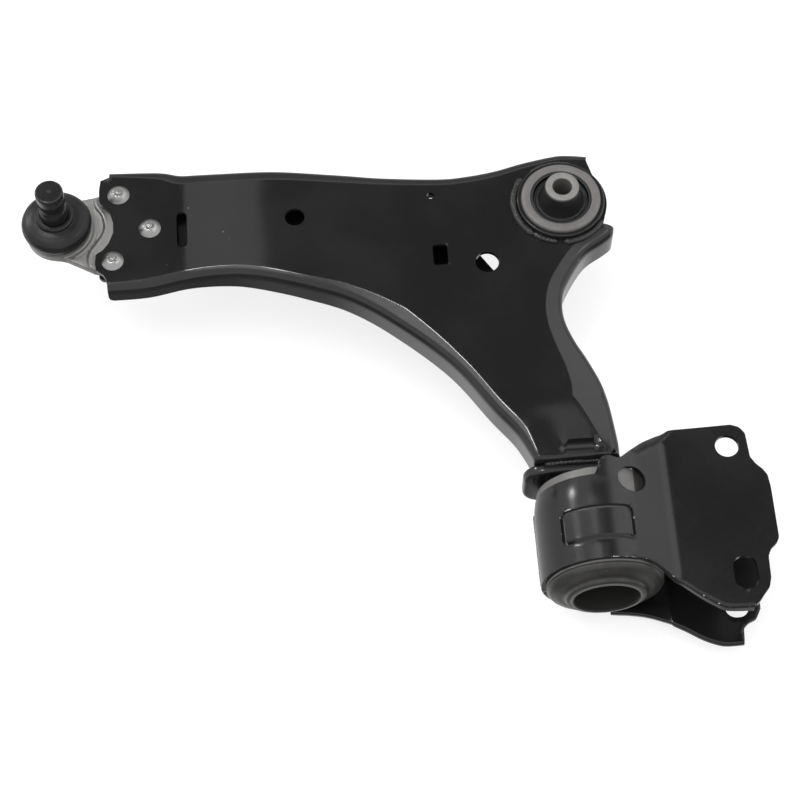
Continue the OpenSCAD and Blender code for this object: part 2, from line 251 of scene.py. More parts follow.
def mesh_object(name, verts, faces, mat, sharp=38):
    mesh = bpy.data.meshes.new(name)
    mesh.from_pydata([(x * MM, y * MM, z * MM) for x, y, z in verts], [], faces)
    mesh.validate()
    mark_sharp(mesh, sharp)
    obj = bpy.data.objects.new(name, mesh)
    bpy.context.scene.collection.objects.link(obj)
    mesh.materials.append(mat)
    return obj


def stands_for(piece, body, node):
    """Hangs a piece on its body in place of a node, which it hides."""
    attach(piece, body)
    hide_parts(node)


def apply_modifiers(obj):
    depsgraph = bpy.context.evaluated_depsgraph_get()
    evaluated = obj.evaluated_get(depsgraph)
    mesh = bpy.data.meshes.new_from_object(evaluated)
    old = obj.data
    obj.modifiers.clear()
    obj.data = mesh
    mesh.name = old.name
    bpy.data.meshes.remove(old)


def join(name, objs):
    """One object from several, keeping each one's material and its marks for chips and painted
    glints.
    """
    bm = bmesh.new()
    mats = []
    for o in objs:
        part = bmesh.new()
        part.from_mesh(o.data)
        slots = []
        for m in o.data.materials:
            if m not in mats:
                mats.append(m)
            slots.append(mats.index(m))
        for f in part.faces:
            f.material_index = slots[f.material_index]
        temp = bpy.data.meshes.new("temp")
        part.to_mesh(temp)
        part.free()
        bm.from_mesh(temp)
        bpy.data.meshes.remove(temp)
    mesh = bpy.data.meshes.new(name)
    bm.to_mesh(mesh)
    bm.free()
    for m in mats:
        mesh.materials.append(m)
    for o in objs:
        data = o.data
        bpy.data.objects.remove(o)
        bpy.data.meshes.remove(data)
    obj = bpy.data.objects.new(name, mesh)
    bpy.context.scene.collection.objects.link(obj)
    return obj


def rounded(profile, default=0.6, steps=4):
    """A closed outline with its corners rounded. A point is (a, b) or (a, b, radius)."""
    n = len(profile)
    out = []
    for i, p in enumerate(profile):
        r = p[2] if len(p) > 2 else default
        b = np.array(p[:2], float)
        a = np.array(profile[i - 1][:2], float)
        c = np.array(profile[(i + 1) % n][:2], float)
        la, lc = np.linalg.norm(a - b), np.linalg.norm(c - b)
        if r <= 0 or la < 1e-6 or lc < 1e-6:
            out.append(tuple(b))
            continue
        ua, uc = (a - b) / la, (c - b) / lc
        half = math.acos(max(-1.0, min(1.0, float(ua @ uc)))) / 2
        if half > math.radians(85):
            out.append(tuple(b))
            continue
        cut = min(r / math.tan(half), 0.45 * la, 0.45 * lc)
        radius = cut * math.tan(half)
        centre = b + (ua + uc) / np.linalg.norm(ua + uc) * radius / math.sin(half)
        s, e = b + ua * cut - centre, b + uc * cut - centre
        for k in range(steps + 1):
            t = k / steps
            v = s * (1 - t) + e * t
            out.append(tuple(centre + v / np.linalg.norm(v) * radius))
    return out


def lathe(name, profile, mat, place, segments=128, closed=True):
    """Turns a profile of (radius, height) about an axis. A third value rounds a corner.
    place maps (r cos, r sin, h) to the part's frame. An open profile ends on the axis."""
    pts = rounded(profile) if closed else [tuple(p[:2]) for p in profile]
    verts, faces = [], []
    rows = len(pts)
    for i in range(segments):
        a = 2 * math.pi * i / segments
        for r, h in pts:
            verts.append(place(r * math.cos(a), r * math.sin(a), h))
    for i in range(segments):
        j = (i + 1) % segments
        for k in range(rows if closed else rows - 1):
            m = (k + 1) % rows
            quad = [i * rows + k, j * rows + k, j * rows + m, i * rows + m]
            faces.append(quad)
    obj = mesh_object(name, verts, faces, mat)
    bm = bmesh.new()
    bm.from_mesh(obj.data)
    bmesh.ops.dissolve_degenerate(bm, dist=1e-7, edges=bm.edges)
    bmesh.ops.recalc_face_normals(bm, faces=bm.faces)
    bm.to_mesh(obj.data)
    bm.free()
    return obj


def paint_bore_shade(obj, centre, radius):
    """Paints the faces nearer than radius to the rear bush's axis with the dark bore material:
    painted shade inside the bore.
    """
    obj.data.materials.append(BORE_SHADE)
    for f in obj.data.polygons:
        c = f.center / MM
        if math.hypot(c.x - centre[0], c.z - centre[1]) < radius:
            f.material_index = 1


def upright(x, y, h):
    return (x, y, h)


def at_ball(x, y, h):
    return (BALL[0] + x, BALL[1] + y, h)


def at_rear(x, y, h):
    """h runs backwards along -Y from the front bush's plane."""
    return (REAR_X + x, -h, REAR_Z + y)


def catmull(points, steps):
    p = [np.array(q, float) for q in points]
    out = []
    for i in range(len(p) - 1):
        a, b, c, d = p[max(0, i - 1)], p[i], p[i + 1], p[min(len(p) - 1, i + 2)]
        for k in range(steps):
            t = k / steps
            out.append(b + t * (c - a) / 2 + t * t * (a - 2.5 * b + 2 * c - d / 2)
                       + t ** 3 * (1.5 * (b - c) + (d - a) / 2))
    out.append(p[-1])
    return [tuple(q) for q in out]


def resample(points, step):
    p = np.array(points, float)
    d = np.r_[0, np.cumsum(np.linalg.norm(np.diff(p, axis=0), axis=1))]
    n = max(1, int(round(d[-1] / step)))
    t = np.linspace(0, d[-1], n + 1)
    return [tuple(q) for q in np.stack([np.interp(t, d, p[:, k]) for k in range(p.shape[1])], 1)]


def soften(points, radius):
    """An open line with its corners rounded; its ends stay."""
    if len(points) < 3:
        return list(points)
    closed = [(*p, radius) for p in points[1:-1]]
    full = rounded([(*points[0], 0)] + closed + [(*points[-1], 0)], radius)
    return full


def distance_to(points, line):
    """Distance of each point to an open line, with numpy."""
    p = np.asarray(points, float)
    best = np.full(len(p), 1e9)
    for a, b in zip(line[:-1], line[1:]):
        a, b = np.array(a, float), np.array(b, float)
        ab = b - a
        t = np.clip(((p - a) @ ab) / max(1e-12, ab @ ab), 0, 1)
        best = np.minimum(best, np.linalg.norm(p - a - t[:, None] * ab, axis=1))
    return best


def inside(points, loop):
    p = np.asarray(points, float)
    q = np.asarray(loop, float)
    hit = np.zeros(len(p), bool)
    for (x0, y0), (x1, y1) in zip(q, np.roll(q, -1, axis=0)):
        cross = ((y0 > p[:, 1]) != (y1 > p[:, 1])) & (
            p[:, 0] < (x1 - x0) * (p[:, 1] - y0) / (y1 - y0 + 1e-15) + x0)
        hit ^= cross
    return hit


def fill(boundary, holes, rings, step):
    """Triangles over a flat outline with holes. rings are extra closed lines whose
    points and edges are kept, so that the surface can fold along them."""
    loops = [boundary] + holes + rings
    pts, edges = [], []
    for loop in loops:
        first = len(pts)
        pts += [tuple(p) for p in loop]
        edges += [(first + i, first + (i + 1) % len(loop)) for i in range(len(loop))]
    q = np.array(boundary)
    xs = np.arange(q[:, 0].min(), q[:, 0].max(), step)
    ys = np.arange(q[:, 1].min(), q[:, 1].max(), step)
    grid = np.array([(x + (step / 2 if j % 2 else 0), y)
                     for j, y in enumerate(ys) for x in xs])
    keep = inside(grid, boundary)
    for h in holes:
        keep &= ~inside(grid, h)
    grid = grid[keep]
    near = np.full(len(grid), 1e9)
    for loop in loops:
        near = np.minimum(near, distance_to(grid, list(loop) + [loop[0]]))
    pts += [tuple(p) for p in grid[near > step * 0.4]]
    out, _, tris, *_ = delaunay_2d_cdt([Vector(p) for p in pts], edges, [], 0, 1e-5)
    out = np.array([tuple(v) for v in out])
    centres = np.array([out[list(t)].mean(0) for t in tris])
    ok = inside(centres, boundary)
    for h in holes:
        ok &= ~inside(centres, h)
    return out, [list(t) for t, k in zip(tris, ok) if k]


def inward(points):
    """Mitre vectors to the left of each point of a line."""
    p = np.asarray(points, float)
    d = np.diff(p, axis=0)
    n = np.stack([-d[:, 1], d[:, 0]], 1)
    n /= np.linalg.norm(n, axis=1)[:, None]
    before = np.vstack([n[:1], n])
    after = np.vstack([n, n[-1:]])
    m = before + after
    m /= np.linalg.norm(m, axis=1)[:, None]
    return m / np.maximum(0.6, (m * before).sum(1))[:, None]


def bend_rows(width, depth, radius, shoulder, steps=8):
    """(inset, drop) pairs from the flat face, eased on to a sloping shoulder of that
    many degrees, over a bend of that radius and down a wall."""
    a = math.radians(shoulder)
    ease = 6.0
    flat = (width - ease * math.sin(a) - radius * (1 - math.sin(a))) / math.cos(a)
    if flat < 0:
        scale = width / (width - flat * math.cos(a))
        ease, radius, flat = ease * scale, radius * scale, 0.0
    rows = [(width - ease * math.sin(a * k / 3), ease * (1 - math.cos(a * k / 3)))
            for k in range(4)]
    inset, drop = rows[-1]
    for k in range(1, 4):
        rows.append((inset - flat * math.cos(a) * k / 3, drop + flat * math.sin(a) * k / 3))
    inset, drop = rows[-1]
    for k in range(1, steps + 1):
        b = a + (math.pi / 2 - a) * k / steps
        rows.append((inset - radius * (math.sin(b) - math.sin(a)),
                     drop + radius * (math.cos(a) - math.cos(b))))
    top = rows[-1][1]
    for k in range(1, 6):
        rows.append((0.0, top + (depth - top) * k / 5))
    return rows


def thicken(obj, thickness, rim=0.5):
    """A closed sheet from an open face, with rounded cut edges."""
    solid = obj.modifiers.new("solid", "SOLIDIFY")
    solid.thickness = thickness * MM
    solid.offset = -1
    solid.use_even_offset = False
    bevel = obj.modifiers.new("bevel", "BEVEL")
    bevel.width = rim * MM
    bevel.segments = 2
    bevel.limit_method = "ANGLE"
    bevel.angle_limit = math.radians(55)
    bevel.use_clamp_overlap = True
    apply_modifiers(obj)
    mark_sharp(obj.data, 42)


def pressing(name, runs, holes, rings, place, thickness, mat, step=5.0, wear_and_glint_lines=()):
    """A pressed sheet. runs go round its outline counter-clockwise; each is a line with
    the width of its bend, its wall's depth, and the bend's radius and shoulder angle,
    or just a line for a plain cut edge. place(u, v, drop) gives the part's frame."""
    boundary, strips = [], []
    for run in runs:
        line = run["line"]
        if "width" not in run:
            boundary += line
            continue
        m = inward(line)
        w = np.asarray(run["width"], float)
        q = np.asarray(line, float) + m * w[:, None]
        boundary += [tuple(v) for v in q]
        strips.append((np.asarray(line, float), m, w, run))
    clean = [p for i, p in enumerate(boundary)
             if math.dist(p, boundary[i - 1]) > 0.05]
    flat, tris = fill(clean, holes, rings, step)
    verts = [place(u, v, 0.0) for u, v in flat]
    faces = list(tris)
    for line, m, w, run in strips:
        first = len(verts)
        rows = 0
        for p, n, width, depth, angle in zip(line, m, w, run["depth"], run["shoulder"]):
            table = bend_rows(width, depth, run["radius"], angle)
            rows = len(table)
            for inset, drop in table:
                u, v = p + n * inset
                verts.append(place(u, v, drop))
        for i in range(len(line) - 1):
            for k in range(rows - 1):
                a = first + i * rows + k
                faces.append([a, a + 1, a + rows + 1, a + rows])
    obj = mesh_object(name, verts, faces, mat)
    up = sum((f.normal.z * f.area for f in obj.data.polygons), 0.0)
    if up < 0:
        obj.data.flip_normals()
    thicken(obj, thickness)
    add_wear_and_glints(obj, wear_and_glint_lines)
    return obj


def add_wear_and_glints(obj, lines):
    """Marks the places that chip or carry a painted glint: near each line, as much as amount, as
    far as reach.
    """
    co = np.array([v.co for v in obj.data.vertices], float) / MM
    value = np.zeros(len(co))
    for line, amount, reach in lines:
        d = distance_to(co, line)
        value = np.maximum(value, amount * np.clip(1.3 - d / reach, 0, 1))
    attribute = obj.data.attributes.new("wear_and_glint", "FLOAT", "POINT")
    attribute.data.foreach_set("value", value.astype(np.float32))


def arc_points(r, first, last, step):
    """Points on an arc about the origin, from first degrees up to last."""
    return [(r * math.cos(math.radians(a)), r * math.sin(math.radians(a)))
            for a in range(first, last, step)]


def circle(x, y, r, n=48):
    return [(x + r * math.cos(2 * math.pi * k / n), y + r * math.sin(2 * math.pi * k / n))
            for k in range(n)]


def box_loop(x0, y0, x1, y1, r, step=2.0):
    pts = rounded([(x0, y0, r), (x1, y0, r), (x1, y1, r), (x0, y1, r)], r, 6)
    return resample(pts + [pts[0]], step)[:-1]


def smoothstep(a, b, x):
    t = max(0.0, min(1.0, (x - a) / (b - a)))
    return t * t * (3 - 2 * t)


def bead(name, path, radius, mat, seed=0.0, lumps=1.0):
    """A weld run: a tube along path whose size wanders, with ripples. lumps scales both."""
    spacing, ripple, flatness, sides = 0.9, 3.2, 0.8, 12
    path = [np.array(p, float) for p in resample(path, spacing)]
    verts, faces = [], []
    for i, p in enumerate(path):
        t = path[min(len(path) - 1, i + 1)] - path[max(0, i - 1)]
        t /= np.linalg.norm(t)
        up = np.array((0.0, 0.0, 1.0)) if abs(t[2]) < 0.8 else np.array((1.0, 0.0, 0.0))
        side = np.cross(t, up)
        side /= np.linalg.norm(side)
        up = np.cross(side, t)
        end = min(i, len(path) - 1 - i) * spacing
        taper = math.sqrt(min(1.0, (end + 0.25) / (radius * 1.2)))
        wander = noise.noise(Vector((i * 0.13, seed, 0.0)))
        wave = math.cos(2 * math.pi * i * spacing / ripple)
        size = radius * taper * (1 + lumps * (0.2 * wander + 0.07 * wave))
        for k in range(sides):
            a = 2 * math.pi * k / sides
            lump = 1 + 0.14 * lumps * noise.noise(Vector((i * 0.35, k * 0.9, seed)))
            q = (p + side * math.cos(a) * size * lump
                 + up * math.sin(a) * size * flatness * lump)
            verts.append(tuple(q))
    for i in range(len(path) - 1):
        for k in range(sides):
            a, b = i * sides + k, i * sides + (k + 1) % sides
            faces.append([a, b, b + sides, a + sides])
    last = (len(path) - 1) * sides
    faces.append([k for k in range(sides)][::-1])
    faces.append([last + k for k in range(sides)])
    return mesh_object(name, verts, faces, mat, 60)


# -------- arm pressing

NEAR = [(-345, -49.3), (-315, -48.5), (-285, -43), (-258, -42.5), (-235, -46),
        (-198, -57.5), (-165, -70.5), (-132, -93.5), (-94, -130), (-67, -169),
        (-50.5, -191.5), (-40, -214)]
NEAR_WIDTH = [7, 8, 8, 8, 8, 8, 10, 13.5, 9, 8.5, 8.5, 5]
INBOARD = [(21.5, -214), (21.5, -198), (17.5, -160), (9, -136), (-1, -115), (-6.5, -97),
           (-6.3, -81), (-1, -67), (14, -45), (30.5, -33.5), (37, -28.5), (38.8, -22.5)]
INBOARD_WIDTH = [5, 14, 27, 21, 17, 14.5, 13, 12.5, 11.5, 10, 9, 8.5]
FAR = [(24.5, 42.4), (18, 43.6), (12, 44.5), (0, 44.8), (-25, 40.4), (-47, 34.8),
       (-69, 31.5), (-91, 30.6), (-134, 34.6), (-166, 39.7), (-217, 47), (-270, 51.4),
       (-289, 52.8), (-305, 56), (-342.5, 57)]
FAR_WIDTH = [6, 6.5, 7, 7, 8, 8.5, 9, 9, 9.5, 10.5, 11.5, 12, 12, 9.5, 6]
TIP = [(-349.3, 48.2), (-350.5, 40), (-350.5, 30), (-348.5, 25), (-342.5, 19), (-340, 10),
       (-340, 1), (-343.5, -8), (-348.5, -14.5), (-353.5, -17.5), (-354, -26),
       (-353.2, -31.5), (-347.8, -35.8), (-345.8, -39.8)]
TUBE_R = 33.25
LIP_R = 35.25
DIMPLE = (-20, -208, 7, -199)
REAR_WIDTH = 3.5
END_ROUND = 4.5


TIP_Z, RAMP_RISE = 10.5, 7.0


def ramp_height(x):
    """The top face rises from the ball joint end to the bushes."""
    return TIP_Z + RAMP_RISE * RAMP(x)


def make_ramp():
    """The share of the rise reached at x: steep at once, then fading out."""
    xs = np.linspace(-330, -160, 341)
    slope = np.array([smoothstep(-290, -283, x) * (1 - smoothstep(-238, -196, x))
                      for x in xs])
    rise = np.r_[0, np.cumsum((slope[1:] + slope[:-1]) / 2)]
    rise /= rise[-1]
    return lambda x: float(np.interp(x, xs, rise))


RAMP = make_ramp()


def in_box(u, v, box, edge):
    """1 inside a box, falling to 0 over edge on each side."""
    x0, y0, x1, y1 = box
    d = min(u - x0, x1 - u, v - y0, y1 - v)
    return smoothstep(0, edge, d)


def arm_place(u, v, drop):
    z = ramp_height(u) - drop
    # The rear end dips on its inboard side.
    z -= 3.0 * smoothstep(-165, -216, v) * smoothstep(-60, -20, u)
    # Sheet metal is never quite flat, least of all where it was drawn most.
    z += 0.06 * noise.noise(Vector((u * 0.022, v * 0.022, 3.1)))
    deep = max(0.0, min(1.0, (v - DIMPLE[1]) / (DIMPLE[3] - DIMPLE[1])))
    z -= (1.7 + 1.1 * deep) * in_box(u, v, DIMPLE, 2.2)
    blotch = smoothstep(-262, -245, u) * (1 - smoothstep(-210, -190, u))
    z += 0.1 * blotch * noise.noise(Vector((u * 0.05, v * 0.05, 7.7)))
    return (u, v, z)


def deepening(u):
    """0 towards the ball joint and 1 where the walls have reached their full depth."""
    return max(0.0, min(1.0, (u + 206) / 76))


def foot_depth(u, v):
    """The wall's height at a point of the outline: its foot is flat, then drops."""
    foot = -5.5 - 4.0 * deepening(u)
    past = END_ROUND - (u - NEAR[0][0])
    if past > 0 and v < 0:
        foot += END_ROUND - math.sqrt(max(0.0, END_ROUND ** 2 - past ** 2))
    return arm_place(u, v, 0.0)[2] - foot


def wide(points, widths, line):
    """Bend widths for the resampled points of a line."""
    p = np.asarray(points, float)
    d = np.r_[0, np.cumsum(np.linalg.norm(np.diff(p, axis=0), axis=1))]
    q = np.asarray(line, float)
    e = np.r_[0, np.cumsum(np.linalg.norm(np.diff(q, axis=0), axis=1))]
    return np.interp(e / e[-1], d / d[-1], widths)


def build_arm():
    near = resample(catmull(NEAR, 6), 3.0)
    near = resample(near[:3], 0.75)[:-1] + near[2:]
    inboard = resample(catmull(INBOARD, 6), 3.0)
    rear = resample([near[-1], inboard[0]], 3.0)[1:-1]
    run_a = near + rear + inboard
    wa = (list(wide(NEAR, NEAR_WIDTH, near)) + [REAR_WIDTH] * len(rear)
          + list(wide(INBOARD, INBOARD_WIDTH, inboard)))
    shoulders = [16 - 11 * smoothstep(-180, -214, v) * smoothstep(-20, 0, u) for u, v in run_a]
    far = resample(catmull(FAR, 6), 3.0)
    lip = arc_points(LIP_R, -20, 44, 4)
    tip = resample(soften(TIP, 2.5), 1.5)
    runs = [
        {"line": run_a, "width": wa, "depth": [foot_depth(*p) for p in run_a],
         "radius": 7.0, "shoulder": shoulders},
        {"line": lip},
        {"line": far, "width": wide(FAR, FAR_WIDTH, far),
         "depth": [foot_depth(*p) for p in far], "radius": 6.0, "shoulder": [18] * len(far)},
        {"line": tip},
    ]
    slot = resample(rounded([(-292, -15.5), (-284, -15.5), (-284, 15.5), (-292, 15.5)], 4, 6), 1.5)
    holes = [slot, circle(-202, 1, 7.5), circle(-98, 13, 2.75, 24),
             box_loop(-100, -48.5, -89, -31, 1.4), circle(-60, -48.5, 8.75),
             circle(0, 0, TUBE_R, 96)]
    x0, y0, x1, y1 = DIMPLE
    rings = [box_loop(x0, y0, x1, y1, 3),
             box_loop(x0 + 2.2, y0 + 2.2, x1 - 2.2, y1 - 2.2, 1, 1.2)]
    top = arm_place(0, -200, 0)[2]
    wear_and_glint = [([(x0 + 0.5, y0 + 3, top), (x0 + 2, y0 + 1, top)], 0.9, 1.8),
            ([(x1 - 1, y1 - 2, top), (x1 - 2, y1 - 1, top)], 0.82, 1.0)]
    return pressing("upper_shell_pressing", runs, holes, rings, arm_place, SHEET,
                    ARM_PAINT, 4.5, wear_and_glint)


arm = build_arm()
stands_for(arm, "arm", "upper_shell")


def clip_left(loop, a, b):
    """The part of a closed outline to the left of the line from a to b."""
    a, b = np.array(a, float), np.array(b, float)
    d = b - a
    out = []
    for p, q in zip(loop, loop[1:] + loop[:1]):
        p, q = np.array(p, float), np.array(q, float)
        sp = d[0] * (p - a)[1] - d[1] * (p - a)[0]
        sq = d[0] * (q - a)[1] - d[1] * (q - a)[0]
        if sp >= 0:
            out.append(tuple(p))
        if (sp >= 0) != (sq >= 0):
            out.append(tuple(p + (q - p) * sp / (sp - sq)))
    return out


def plate_place(u, v, drop):
    z = -0.05 - 4.5 * deepening(u) - drop
    rib = distance_to([(u, v)], [(-245, 0), (-150, -20), (-90, -75), (-30, -165)])[0]
    z += 1.6 * (1 - smoothstep(4, 9, rib)) * smoothstep(-262, -245, u)
    return (u, v, z)


def build_lower_plate():
    def inset(points):
        """The arm's outline, moved in to clear the walls."""
        line = resample(catmull(points, 6), 4.0)
        return [tuple(np.array(p) + m * (SHEET + 0.3)) for p, m in zip(line, inward(line))]

    left, right, top = inset(NEAR), inset(INBOARD[:9]), inset(FAR[5:])
    tip = [(-352, 42), (-352, -33), (-346.5, -34.5)]
    loop = left[:-1] + [(-37, -210.7), (18.2, -210.7)] + right[1:] + top + tip
    loop = clip_left(loop, (-12, -108), (-98, 25))
    loop = resample(soften(loop + [loop[0]], 2.0), 3.0)[:-1]
    return pressing("lower_plate_pressing", [{"line": loop}],
                    [circle(-180, -8, 6), circle(-45, -140, 6)], [], plate_place,
                    SHEET, ARM_PAINT, 5.0)


lower = build_lower_plate()
stands_for(lower, "arm", "lower_plate")


# -------- front bush

tube_profile = [(30.25, -25, 0.6), (TUBE_R, -25, 0.8), (TUBE_R, 22.5, 1.0), (30.25, 22.5, 0.8)]
tube = lathe("front_tube", tube_profile, ARM_PAINT, upright)
add_wear_and_glints(tube, [([(TUBE_R * math.cos(a / 10), TUBE_R * math.sin(a / 10), 22.3)
                  for a in range(31, 60)], 0.75, 1.5)])
stands_for(tube, "arm", "front_bush_tube")


def ring_path(r, z, a0, a1):
    return [(x, y, z) for x, y in arc_points(r, a0, a1 + 1, 3)]


# Runs of weld round the tube: first and last degrees, radius, size.
TUBE_WELDS = ((140, 232, 35.6, 2.9), (228, 262, 35.0, 2.4), (268, 330, 35.2, 2.6),
              (70, 128, 34.0, 2.0))
beads = [bead(f"tube_bead_{i}", ring_path(r, 18.1, a0, a1), size, BEAD_PAINT, i * 7.7)
         for i, (a0, a1, r, size) in enumerate(TUBE_WELDS)]
tube_weld = join("tube_weld", beads)
# Painted glints: these worn spots on the weld runs are partly bare-metal chips and partly a light
# colour standing in for highlights on the bead.
add_wear_and_glints(tube_weld, [(ring_path(35.6, 20.0, 224, 236), 0.97, 2.4),
                     (ring_path(38.0, 18.5, 214, 230), 0.93, 1.5),
                     (ring_path(34.5, 20.0, 250, 256), 0.95, 2.0),
                     (ring_path(35.0, 20.0, 270, 276), 0.84, 2.0)])
stands_for(tube_weld, "arm", "front_tube_weld")

can_profile = [(28.2, -27, 0.4), (30.2, -27, 0.5), (30.2, 25, 2.2), (23, 25, 0.9),
               (23, 22.6, 0.4), (28.2, 22.6, 1.2)]
front_can = lathe("front_can", can_profile, RING, upright, 160)
stands_for(front_can, "arm", "front_bush_can")

lining_profile = [(28.15, 22.5, 0.3), (21.4, 22.5, 0.3), (20.9, 24.3, 0.5), (22.95, 24.3, 0.4),
                  (22.95, 22.7, 0.1), (28.15, 22.7, 0.1)]
front_lining = lathe("front_bush_lining", lining_profile, BUSH, upright)
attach(front_lining, "arm")


def ball_curve(r, z0, z1, steps):
    """A run of (radius, height) points round a sphere of radius r."""
    a0, a1 = math.asin(z0 / r), math.asin(z1 / r)
    angles = [a0 + (a1 - a0) * k / steps for k in range(steps + 1)]
    return [(r * math.cos(a), r * math.sin(a), 0) for a in angles]


plug_profile = ([(12.0, -30, 0.3), (15.5, -30, 1.5), (18.5, -20.5, 3)]
                + ball_curve(27.9, -20.0, 17.4, 14)
                + [(21.3, 20.6, 0.8), (20.2, 21.8, 0.8), (18.4, 20.2, 2.0), (16.8, 21.2, 2.0),
                   (15.5, 23.8, 3.0), (14.3, 27.5, 3.0), (13.5, 32.0, 2.0), (13.1, 38.4, 0.5),
                   (12.0, 38.6, 0.2)])
front_rubber = lathe("front_bush_plug", plug_profile, BUSH, upright)
stands_for(front_rubber, "front_sleeve", "front_bush_rubber")

sleeve_profile = [(7.25, -40, 0.9), (12.6, -40, 0.7), (12.6, 40, 0.7), (7.25, 40, 0.9)]
front_sleeve = lathe("front_sleeve_tube", sleeve_profile, SLEEVE, upright)
stands_for(front_sleeve, "front_sleeve", "front_bush_sleeve")


# -------- ball joint

def tongue_point(x, y):
    """A point of the housing's tongue, whose middle line is turned about the ball."""
    a = math.radians(-5)
    return (BALL[0] + x * math.cos(a) - y * math.sin(a),
            BALL[1] + x * math.sin(a) + y * math.cos(a))


def prism(name, loop, z0, z1, mat):
    n = len(loop)
    verts = [(x, y, z) for z in (z0, z1) for x, y in loop]
    faces = [[i, (i + 1) % n, n + (i + 1) % n, n + i] for i in range(n)]
    faces += [list(range(n))[::-1], list(range(n, 2 * n))]
    return mesh_object(name, verts, faces, mat)


# The step in the housing beside the arm's notched end.
RIB = [(-353.6, 35.5), (-353.4, 32.7), (-352.4, 27.4), (-348.8, 21.6), (-346.1, 14.1),
       (-345.9, 6), (-349.9, -3), (-356.6, -12.2), (-358.4, -18.4), (-357.4, -25.3),
       (-355.6, -28.2)]


POT = [(15.5, -11.5, 0.5), (17.2, -11.5, 1.5), (19.5, -8, 1), (22, -1, 1), (24.4, 0.5, 0.8),
       (24.9, 6.0, 1.0), (24.9, 9.5, 1.2), (15, 9.5, 0.2), (15, 11, 0.5), (12.1, 11, 0.4),
       (12.1, 9, 0.2), (15.5, 9, 0.2)]


def build_housing():
    """A forging: the pot, its tongue and the raised parts, melted into one skin."""
    pot = lathe("pot", POT, HOUSING, at_ball)
    inner = arc_points(18, 90, -91, -10)
    outline = [(0, -24), (8, -25.5), (30, -35.5), (44, -38.5), (54, -37), (62, -24),
               (78, -10), (82, 0), (78, 10), (62, 24), (54, 37), (44, 38.5), (30, 31),
               (16, 27.5), (0, 24)]
    loop = soften(outline, 3.0) + inner
    slab = prism("slab", [tongue_point(x, y) for x, y in loop], 0.0, 6.2, HOUSING)
    line = resample(catmull(RIB, 5), 1.2)
    sector = arc_points(28.4, -62, 58, 6) + arc_points(21, 52, -63, -6)
    skirt = prism("skirt", [(BALL[0] + x, BALL[1] + y) for x, y in sector], 3.0, 6.85, HOUSING)
    ledge = prism("ledge", line + [(-341, -31.8), (-335, -20), (-335, 25), (-341, 38)],
                  3.0, 7.5, HOUSING)
    ridge = bead("ridge", [(x, y, 7.1) for x, y in line[1:-1]], 1.5, HOUSING, lumps=0.0)
    body = join("housing", [pot, slab, skirt, ledge, ridge])
    remesh = body.modifiers.new("remesh", "REMESH")
    remesh.mode = "VOXEL"
    remesh.voxel_size = 0.7 * MM
    smooth = body.modifiers.new("smooth", "SMOOTH")
    smooth.factor = 0.5
    smooth.iterations = 5
    apply_modifiers(body)
    body.data.materials.clear()
    body.data.materials.append(HOUSING)
    mark_sharp(body.data, 60)
    return body


housing = build_housing()
stands_for(housing, "arm", "ball_joint_housing")


RIVET_PLACES = ((44, 29.3), (44, -29.3), (70, 0))


def build_rivets():
    angles = [math.radians(56.6) * (1 - k / 12) for k in range(1, 13)]
    dome = [(10.0 * math.sin(b), 5.0 + 10.0 * math.cos(b)) for b in angles]
    top = [(0.0, 10.45), (8.0, 10.45), (8.35, 10.75)] + [p for p in dome if p[0] > 3.6] + [
        (3.3, 14.3), (2.7, 14.3), (2.4, 14.9), (1.9, 15.5), (1.0, 15.7), (0.0, 15.7)]
    low = [(r, 7.5 - h) for r, h in top[::-1]]
    parts = []
    for i, (x, y) in enumerate(RIVET_PLACES):
        cx, cy = tongue_point(x, y)
        parts.append(lathe(f"rivet_{i}", low + top, RIVET,
                           lambda px, py, h, cx=cx, cy=cy: (cx + px, cy + py, h), 64,
                           closed=False))
    return join("rivets", parts)


rivets = build_rivets()
stands_for(rivets, "arm", "ball_joint_rivets")

cover_profile = [(0.0, -9.0), (15.4, -9.0), (15.4, -10.2), (14.6, -11.3), (12.5, -11.5),
                 (11.0, -10.7), (0.0, -10.4)]
cover = lathe("cover", cover_profile, HOUSING, at_ball, 96, closed=False)
stands_for(cover, "arm", "housing_cover")


# The stud above its ball: neck, taper, shank with the clamp groove, and dimpled top.
SHANK = [(6.5, 16.6), (6.5, 18.5), (7.3, 20.0), (10.2, 24.6), (10.5, 25.4), (10.5, 37.6),
         (10.3, 38.1), (9.0, 39.4), (8.8, 40.0), (8.8, 43.8), (9.0, 44.5), (10.3, 45.8),
         (10.5, 46.4), (10.5, 57.9), (10.4, 58.8), (9.8, 59.7), (9.4, 59.9), (9.1, 59.95),
         (8.9, 59.95), (1.8, 59.95), (1.6, 59.95), (1.3, 59.9), (0.9, 59.6), (0.4, 59.3),
         (0.0, 59.3)]
BALL_R = 12.5
ball = [(BALL_R * math.sin(math.radians(a)), BALL_Z - BALL_R * math.cos(math.radians(a)))
        for a in range(0, 149, 6)]
stud = lathe("stud", ball + SHANK, STUD, at_ball, 96, closed=False)
stands_for(stud, "ball_stud", "ball_stud")

bulge_profile = [(21.6, 9.6, 0.5), (23.9, 9.6, 0.5), (23.9, 11.0, 0.4), (25.4, 11.8, 1.5),
                 (26.5, 15.0, 1.5), (26.4, 17.4, 3.0), (25.3, 20.2, 4.0), (22.9, 22.4, 5.0),
                 (19.9, 23.6, 0.2), (19.6, 21.5, 0.3), (23.8, 19.6, 3.0), (24.7, 16.0, 3.0),
                 (23.7, 13.2, 1.5), (21.6, 12.6, 0.5)]
bulge = lathe("boot_bulge", bulge_profile, BOOT, at_ball)
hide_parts("boot_lower", "boot_middle")
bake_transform(bulge)

